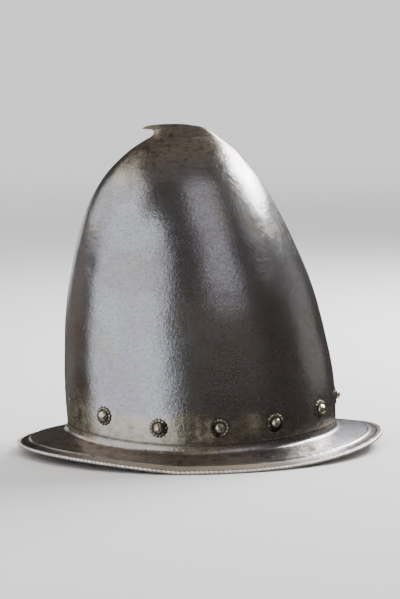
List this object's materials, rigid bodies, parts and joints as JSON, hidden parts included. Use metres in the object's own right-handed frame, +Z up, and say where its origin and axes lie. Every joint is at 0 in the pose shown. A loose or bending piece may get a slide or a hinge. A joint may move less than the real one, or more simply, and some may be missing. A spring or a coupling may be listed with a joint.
{
  "type": "cabasset helmet",
  "caption": "Tall almond-shaped steel helmet with a small backward stalk, a narrow roped brim and domed rivets on rosette washers round its base.",
  "frame": {"origin": "on the surface that the brim rests on, under the middle of the brim", "axes": "+X towards the helmet's front, +Y towards its left side, +Z up"},
  "size_m": [0.332, 0.26, 0.2936],
  "materials": {
    "aged_steel": "old satin polish with dark patina, fine pits and faint hammer marks",
    "aged_brass": "tarnished pale brass, rubbed bright on the domes"
  },
  "bodies": {
    "root": {"skull": "aged_steel", "washer_01": "aged_brass", "washer_02": "aged_brass", "washer_03": "aged_brass", "washer_04": "aged_brass", "washer_05": "aged_brass", "washer_06": "aged_brass", "washer_07": "aged_brass", "washer_08": "aged_brass", "washer_09": "aged_brass", "washer_10": "aged_brass", "washer_11": "aged_brass", "washer_12": "aged_brass", "rivet_01": "aged_brass", "rivet_02": "aged_brass", "rivet_03": "aged_brass", "rivet_04": "aged_brass", "rivet_05": "aged_brass", "rivet_06": "aged_brass", "rivet_07": "aged_brass", "rivet_08": "aged_brass", "rivet_09": "aged_brass", "rivet_10": "aged_brass", "rivet_11": "aged_brass", "rivet_12": "aged_brass"}
  },
  "joints": []
}
